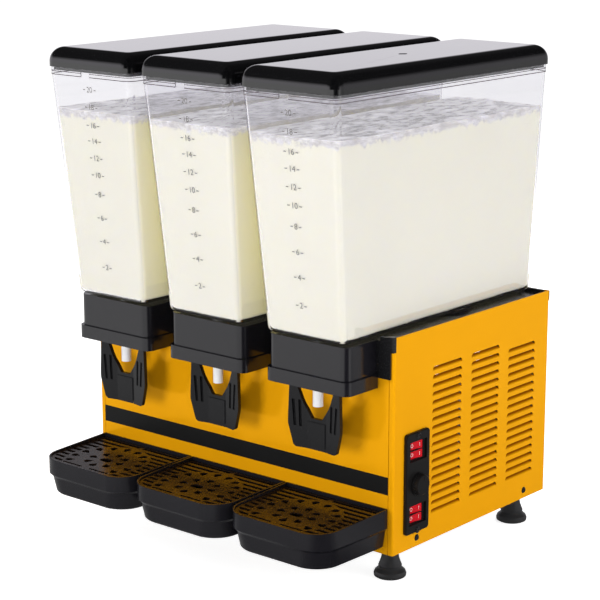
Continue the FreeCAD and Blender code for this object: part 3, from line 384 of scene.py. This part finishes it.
YELLOW = dict(colour=(0.93, 0.41, 0.004), rough=0.12, vary=0.015, grain=240.0, depth=0.00001, edge=0.0008,
              rough_vary=0.02, level=0.10, tint=(1.0, 0.66, 0.10), metal=0.18)
MATS = {
    "lid": plain("lid_gloss", (0.004, 0.004, 0.0045), 0.04, vary=0.15, grain=60.0, depth=0.000006,
                 rough_vary=0.01, edge=0.001, ior=1.75),
    "housing": plain("housing_black", (0.009, 0.0085, 0.011), 0.14, grain=500.0, depth=0.00002,
                     rough_vary=0.03, ior=1.52),
    "lever": plain("lever_black", (0.007, 0.007, 0.008), 0.22, grain=600.0, depth=0.00003, ior=1.33),
    "tray": plain("tray_black", (0.010, 0.0095, 0.012), 0.20, grain=500.0, depth=0.00003,
                  rough_vary=0.03, ior=1.36),
    "grille": plain("grille_gloss", (0.012, 0.007, 0.005), 0.26, grain=160.0, depth=0.00003, edge=0.0008,
                    rough_vary=0.05, ior=1.42, tint=(1.0, 0.78, 0.72)),
    "deck": plain("deck_black", (0.009, 0.009, 0.010), 0.24, grain=500.0, depth=0.00003),
    "plate": plain("plate_black", (0.009, 0.0085, 0.0085), 0.36, grain=700.0, depth=0.00004, level=0.2),
    "stripe": plain("stripe_film", (0.010, 0.010, 0.010), 0.32, grain=300.0, depth=0.000002, edge=0.0,
                    rough_vary=0.02, level=0.1),
    "yellow": plain("yellow_enamel", **YELLOW),
    # Side panels: yellow enamel with painted shade behind the louvres
    "louvred": plain("yellow_enamel_louvred", painted_louvre_shade=(0.34, 0.10, 0.001), **YELLOW),
    "white": plain("white_moulding", (0.80, 0.80, 0.82), 0.35, vary=0.03),
    "red": plain("red_rocker", (0.58, 0.005, 0.014), 0.20, vary=0.08, grain=300.0, level=0.2),
    "steel": plain("stainless", (0.62, 0.62, 0.63), 0.26, grain=400.0, metal=1.0, stretch=(1.0, 1.0, 0.05)),
    "screw": plain("black_screw", (0.012, 0.012, 0.013), 0.28),
    "sheet": plain("galvanised_sheet", (0.56, 0.57, 0.58), 0.45, metal=1.0, scale=75.0, vary=0.07),
    "rubber": plain("foot_rubber", (0.022, 0.022, 0.023), 0.38, grain=500.0, depth=0.00005, ior=1.6),
    "silicone": plain("grey_silicone", (0.016, 0.016, 0.017), 0.5),
    "enamel": plain("compressor_enamel", (0.015, 0.015, 0.017), 0.35),
    "fins": plain("fin_stock", (0.72, 0.73, 0.74), 0.35, metal=1.0),
    "copper": plain("copper_tube", (0.78, 0.36, 0.22), 0.3, metal=1.0, vary=0.15),
    "matt": plain("matt_black", (0.004, 0.004, 0.004), 0.9, edge=0.0, level=0.05),
    "rim": plain("rim_shade", (0.13, 0.11, 0.125), 0.25, edge=0.0),
    "print": plain("printed_marks", (0.18, 0.17, 0.16), 0.6, edge=0.0),
    "mark": plain("pale_marks", (0.90, 0.66, 0.66), 0.5, edge=0.0),
    "clear": clear_plastic(),
    "drink": drink_material(),
}

# Finish of each piece, by how its name starts; the first that fits is taken, and plate where none does
BY_NAME = (
    ("lid_", "lid"), ("tank_gaskets", "silicone"), ("tank_", "clear"), ("outlet_tube", "white"),
    ("tap_plunger", "white"), ("impeller", "white"), ("tap_housing", "housing"), ("tap_lever", "lever"),
    ("drip_tray", "tray"), ("drip_grille", "grille"), ("side_panel", "louvred"), ("front_panel", "yellow"),
    ("front_stripe", "stripe"), ("rocker", "red"), ("evaporators", "steel"), ("lever_", "steel"),
    ("screws", "screw"), ("foot_", "rubber"), ("cable_gland", "rubber"), ("compressor", "enamel"),
    ("mixer_motors", "enamel"), ("fan_motor", "enamel"), ("condenser", "fins"), ("fan_blades", "fins"),
    ("pipework", "copper"), ("base_pan", "sheet"), ("rear_panel", "sheet"), ("deck", "deck"),
)


def finish_of(name):
    for start, key in BY_NAME:
        if name.startswith(start):
            return MATS[key]
    return MATS["plate"]


for name, obj in NODES.items():
    obj.data.materials.clear()
    obj.data.materials.append(finish_of(name))


# Mesh helpers
def placed(name, data):
    obj = bpy.data.objects.new(name, data)
    bpy.context.scene.collection.objects.link(obj)
    return obj


def new_object(name, mesh, key, body):
    obj = placed(name, mesh)
    mesh.materials.append(MATS[key])
    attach(obj, body)
    return obj


def mesh_from(bm, name):
    mesh = bpy.data.meshes.new(name)
    bm.to_mesh(mesh)
    bm.free()
    return mesh


def applied(obj, mesh_name):
    graph = bpy.context.evaluated_depsgraph_get()
    mesh = bpy.data.meshes.new_from_object(obj.evaluated_get(graph))
    mesh.name = mesh_name
    return mesh


def ring_points(x0, x1, y0, y1, r, z, steps=6, along=12):
    # A level ring with rounded corners, its straight sides in as many pieces as along says
    points = []
    corners = ((x1 - r, y0 + r, -90), (x1 - r, y1 - r, 0), (x0 + r, y1 - r, 90), (x0 + r, y0 + r, 180))
    for cx, cy, start in corners:
        for i in range(steps + 1):
            a = math.radians(start + 90 * i / steps)
            points.append(Vector((cx + r * math.cos(a), cy + r * math.sin(a), z)))
    full = []
    for i, point in enumerate(points):
        full.append(point)
        if i % (steps + 1) == steps:
            following = points[(i + 1) % len(points)]
            full += [point.lerp(following, k / along) for k in range(1, along)]
    return full


def loft(bm, rings):
    loops = [[bm.verts.new(p) for p in ring] for ring in rings]
    n = len(loops[0])
    for a, b in zip(loops, loops[1:]):
        for i in range(n):
            bm.faces.new((a[i], a[(i + 1) % n], b[(i + 1) % n], b[i]))
    bm.faces.new(list(reversed(loops[0])))
    bm.faces.new(loops[-1])


# Drink in each tank, hollow over the evaporator and the impeller so that the tank lifts off
def tank_ring(x, z, inset, r):
    t = (z - TANK_FLOOR) / (TANK_RIM - TANK_FLOOR)
    half, y0, y1 = (a + (b - a) * t for a, b in zip(BOTTOM, TOP))
    return ring_points(x - half + inset, x + half - inset, y0 + inset, y1 - inset, r, z)


def swell(point):
    # Height of the uneven froth over the level of the drink
    height = 0.0
    for high, by_x, by_y, start in (BROAD_WAVE, FINE_WAVE):
        height += high * noise.noise(Vector((point.x * by_x, point.y * by_y, start)))
    return height


def froth_rings(x, inset):
    # The surface, from its edge on the wall to the middle of the tank
    edge = []
    for i, point in enumerate(tank_ring(x, DRINK_LEVEL, inset, WALL_CORNER)):
        edge.append(tank_ring(x, DRINK_LEVEL + swell(point), inset, WALL_CORNER)[i])
    middle = sum(edge, Vector()) / len(edge)
    rings = [edge]
    for k in range(1, FROTH_RINGS):
        share = 1.0 - k / FROTH_RINGS
        ring = []
        for point in edge:
            flat = middle + (point - middle) * share
            flat.z = DRINK_LEVEL + swell(flat)
            ring.append(flat)
        rings.append(ring)
    return rings


def drink_solid(x, name):
    inset = TANK_WALL + DRINK_CLEAR
    floor = TANK_FLOOR + inset
    rings = []
    for i in range(FLOOR_RINGS + 1):
        t = math.pi / 2 * i / FLOOR_RINGS
        z = floor + FLOOR_CURVE * (1 - math.cos(t))
        rings.append(tank_ring(x, z, inset + FLOOR_CURVE * (1 - math.sin(t)), FLOOR_CORNER))
    for i in range(1, WALL_RINGS + 1):
        z = floor + FLOOR_CURVE + (DRINK_LEVEL - FROTH_EDGE - floor - FLOOR_CURVE) * i / WALL_RINGS
        rings.append(tank_ring(x, z, inset, WALL_CORNER))
    rings += froth_rings(x, inset)
    bm = bmesh.new()
    loft(bm, rings)
    return mesh_from(bm, name)


def post(bm, x, y, z, r, long, segments):
    place = Matrix.Translation((x, y, z))
    bmesh.ops.create_cone(bm, cap_ends=True, segments=segments, radius1=r, radius2=r, depth=long,
                          matrix=place)


def drink_hollow(x, name):
    bm = bmesh.new()
    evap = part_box("impeller_middle")
    top = evap[1][2] + HOLLOW_OVER
    post(bm, x, (evap[0][1] + evap[1][1]) / 2, (top + HOLLOW_LOW) / 2, HOLLOW_R, top - HOLLOW_LOW, 64)
    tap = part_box("outlet_tube_middle")
    post(bm, x, (tap[0][1] + tap[1][1]) / 2, OUTLET_MIDDLE, OUTLET_R, OUTLET_LONG, 32)
    return mesh_from(bm, name)


def drink_mesh(x, name):
    solid = placed(name + "_solid", drink_solid(x, name))
    cutter = placed(name + "_cutter", drink_hollow(x, name + "_hole"))
    cut = solid.modifiers.new("cut", "BOOLEAN")
    cut.object = cutter
    cut.operation = "DIFFERENCE"
    cut.solver = "EXACT"
    mesh = applied(solid, name)
    for obj in (solid, cutter):
        bpy.data.objects.remove(obj)
    mesh.materials.clear()
    for poly in mesh.polygons:
        poly.use_smooth = poly.normal.z > 0.6 and poly.center.z > DRINK_LEVEL - 0.004
        poly.material_index = 0
    return mesh


for s in SIDES:
    name = "drink_" + s
    new_object(name, drink_mesh(TANK_X[s], name), "drink", "tank_" + s)


# Litre marks on the front wall of each tank
def text_mesh(words, size):
    curve = bpy.data.curves.new("words", "FONT")
    curve.body = words
    curve.size = size
    curve.align_x = "CENTER"
    curve.align_y = "CENTER"
    obj = placed("words", curve)
    mesh = applied(obj, "words")
    bpy.data.objects.remove(obj)
    bpy.data.curves.remove(curve)
    return mesh


def front_y(z):
    t = (z - TANK_FLOOR) / (TANK_RIM - TANK_FLOOR)
    return BOTTOM[1] + (TOP[1] - BOTTOM[1]) * t


def marks_mesh(x, name):
    bm = bmesh.new()
    for value, z in MARKS:
        place = Matrix.Translation((x, front_y(z) - MARK_PROUD, z))
        place = place @ Matrix.Rotation(math.pi / 2 + MARK_LEAN, 4, "X")
        words = text_mesh(str(value), MARK_SIZE)
        words.transform(place)
        bm.from_mesh(words)
        bpy.data.meshes.remove(words)
        reach = TWO_FIGURES if value >= 10 else ONE_FIGURE
        for side in (-1, 1):
            a = side * reach
            b = side * (reach + DASH_LONG)
            corners = [(a, -DASH_HALF), (b, -DASH_HALF), (b, DASH_HALF), (a, DASH_HALF)]
            bm.faces.new([bm.verts.new(place @ Vector((u, v, 0))) for u, v in corners])
    bmesh.ops.recalc_face_normals(bm, faces=bm.faces)
    return mesh_from(bm, name)


for s in SIDES:
    new_object("litre_marks_" + s, marks_mesh(TANK_X[s], "litre_marks_" + s), "print", "tank_" + s)


# Round matt mark over the dimple in the right lid
bm = bmesh.new()
place = Matrix.Translation((TANK_X["right"], LID_MARK_Y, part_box("lid_right")[1][2] + LID_MARK_PROUD))
bmesh.ops.create_circle(bm, cap_ends=True, segments=32, radius=LID_MARK_R, matrix=place)
new_object("lid_dimple", mesh_from(bm, "lid_dimple"), "matt", "lid_right")


# Painted dark lines standing in for the light that the stepped rim of each tank bends, broken at its notch
def rim_line(x, low, high, name):
    half = LID_HALF - RIM_INSET
    y0, y1 = LID_ENDS[0] + RIM_INSET, LID_ENDS[1] - RIM_INSET
    corner = LID_CORNER - RIM_INSET
    loops = []
    for proud, z in ((RIM_PROUD, low), (RIM_PROUD, high), (-RIM_SUNK, high), (-RIM_SUNK, low)):
        ring = ring_points(x - half - proud, x + half + proud, y0 - proud, y1 + proud, corner, z, along=1)
        ends = [Vector((x + side, y0 - proud, z)) for side in NOTCH]
        loops.append([ends[1]] + ring + [ends[0]])
    bm = bmesh.new()
    loops = [[bm.verts.new(p) for p in loop] for loop in loops]
    for a, b in zip(loops, loops[1:] + loops[:1]):
        for i in range(len(a) - 1):
            bm.faces.new((a[i], a[i + 1], b[i + 1], b[i]))
    for i in (0, -1):
        bm.faces.new([loop[i] for loop in loops])
    bmesh.ops.recalc_face_normals(bm, faces=bm.faces)
    return mesh_from(bm, name)


for s in SIDES:
    for k, (low, high) in enumerate(RIM_HEIGHTS):
        name = "rim_line_%d_%s" % (k + 1, s)
        new_object(name, rim_line(TANK_X[s], low, high, name), "rim", "tank_" + s)


# On and off marks at the two ends of each rocker
UPRIGHT = Matrix.Rotation(math.pi / 2, 4, "Z") @ Matrix.Rotation(math.pi / 2, 4, "X")
ROCKER_TURN = Matrix.Rotation(math.radians(ROCKER_TILT), 4, "Z")
for name in [n for n in NODES if n.startswith("rocker_")]:
    low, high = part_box(name)
    pivot = Matrix.Translation((*ROCKER_PIVOT, (low[2] + high[2]) / 2)) @ ROCKER_TURN
    for words, along, tilt in ROCKER_MARKS:
        face = Matrix.Translation((ROCKER_FACE, along, 0.0)) @ Matrix.Rotation(math.radians(tilt), 4, "Z")
        mesh = text_mesh(words, ROCKER_MARK_SIZE)
        mesh.transform(pivot @ face @ UPRIGHT)
        new_object("mark_" + words + "_" + name, mesh, "mark", name)


# Camera
cam_data = bpy.data.cameras.new("camera")
cam_data.lens = CAMERA_LENS
cam_data.sensor_width = CAMERA_SENSOR
cam_data.clip_end = CAMERA_REACH
camera = placed("camera", cam_data)
camera.location = CAMERA_AT
camera.rotation_euler = (CAMERA_AIM - CAMERA_AT).to_track_quat("-Z", "Y").to_euler()
bpy.context.scene.camera = camera


# Studio
def away_from(net, shade, least):
    # 1 where the studio is lit, falling to the least value in the sector of a dark flag
    direction, start, end = shade
    flat = net.add("ShaderNodeVectorMath", operation="MULTIPLY")
    net.link(net.coords, flat.inputs[0])
    flat.inputs[1].default_value = (1.0, 1.0, 0.0)
    unit = net.add("ShaderNodeVectorMath", operation="NORMALIZE")
    net.link(flat.outputs[0], unit.inputs[0])
    dot = net.add("ShaderNodeVectorMath", operation="DOT_PRODUCT")
    net.link(unit.outputs[0], dot.inputs[0])
    dot.inputs[1].default_value = direction
    return net.ramp(dot.outputs["Value"], 1.0, least, start, end)


def dull(net, grey):
    node = net.add("ShaderNodeBsdfDiffuse")
    net.feed(node.inputs[0], (grey, grey, grey))
    return node.outputs[0]


def floor_material():
    # White as seen, dull under the shadow, and lit in mirrors only outside the dark flags, dimmed near the
    # object by a painted shadow
    mat = bpy.data.materials.new("floor_white")
    mat.use_nodes = True
    net = Net(mat.node_tree, "ShaderNodeOutputMaterial", "Object")
    path = net.add("ShaderNodeLightPath").outputs
    glossy = net.math("SUBTRACT", path["Is Glossy Ray"], path["Is Transmission Ray"])
    lit = net.math("MULTIPLY", away_from(net, FLOOR_FLAG, 0.0), away_from(net, DIM_SIDE, DIM_LIGHT))
    reach = net.add("ShaderNodeVectorMath", operation="LENGTH")
    net.link(net.coords, reach.inputs[0])
    # Painted shadow: the floor seen in mirrors grows dimmer near the object
    lit = net.math("MULTIPLY", lit, net.ramp(reach.outputs["Value"], 0.35, 1.0, 0.35, 1.2))
    shown = net.math("ADD", net.math("MULTIPLY", path["Is Camera Ray"], FLOOR_SEEN),
                     net.math("MULTIPLY", path["Is Transmission Ray"], FLOOR_THROUGH))
    glow = net.add("ShaderNodeEmission")
    net.feed(glow.inputs[0], WHITE)
    net.link(net.math("ADD", shown, net.math("MULTIPLY", lit, glossy)), glow.inputs[1])
    both = net.add("ShaderNodeAddShader")
    net.link(net.mix_shaders(glossy, dull(net, FLOOR_GREY), dull(net, 0.0)), both.inputs[0])
    net.link(glow.outputs[0], both.inputs[1])
    net.link(both.outputs[0], net.out.inputs[0])
    return mat


bm = bmesh.new()
bmesh.ops.create_grid(bm, x_segments=1, y_segments=1, size=FLOOR_SIZE)
floor = placed("floor", mesh_from(bm, "floor"))
floor.data.materials.append(floor_material())


def room(net):
    # White for what is seen, plain grey light for what is lit, a bright backdrop low behind for gloss
    path = net.add("ShaderNodeLightPath").outputs
    height = net.split(net.coords)[2]
    lit = net.math("MULTIPLY", away_from(net, FLAG, 0.0), away_from(net, DIM_SIDE, DIM_LIGHT))
    mirrored = net.math("MULTIPLY", net.ramp(height, 1.08, 0.04, 0.14, 0.38), lit)
    through = net.ramp(height, 1.0, 0.12, 0.30, 0.60)
    layers = ((None, WHITE, ROOM_LIGHT), (path["Is Glossy Ray"], GLOSS_TINT, mirrored),
              (path["Is Transmission Ray"], WHITE, through), (path["Is Camera Ray"], WHITE, 1.0))
    shader = None
    for factor, colour, strength in layers:
        layer = net.add("ShaderNodeBackground")
        net.feed(layer.inputs[0], colour)
        net.feed(layer.inputs[1], strength)
        shader = layer.outputs[0] if factor is None else net.mix_shaders(factor, shader, layer.outputs[0])
    net.link(shader, net.out.inputs[0])


world = bpy.data.worlds.new("studio")
bpy.context.scene.world = world
world.use_nodes = True
room(Net(world.node_tree, "ShaderNodeOutputWorld", "Generated"))


def softbox(name, towards, size, power):
    # A wide lamp that lights and isn't mirrored
    data = bpy.data.lights.new(name, "AREA")
    data.shape = "RECTANGLE"
    data.size, data.size_y = size
    data.energy = power
    lamp = placed(name, data)
    lamp.location = LAMP_AIM + Vector(towards).normalized() * LAMP_AWAY
    lamp.rotation_euler = (LAMP_AIM - lamp.location).to_track_quat("-Z", "Y").to_euler()
    lamp.visible_glossy = False
    lamp.visible_transmission = False
    lamp.visible_camera = False


for lamp in LAMPS:
    softbox(*lamp)

bpy.context.scene.cycles.max_bounces = BOUNCES
bpy.context.scene.cycles.transmission_bounces = BOUNCES
bpy.context.scene.cycles.transparent_max_bounces = CLEAR_BOUNCES
bpy.context.scene.view_settings.view_transform = "Standard"
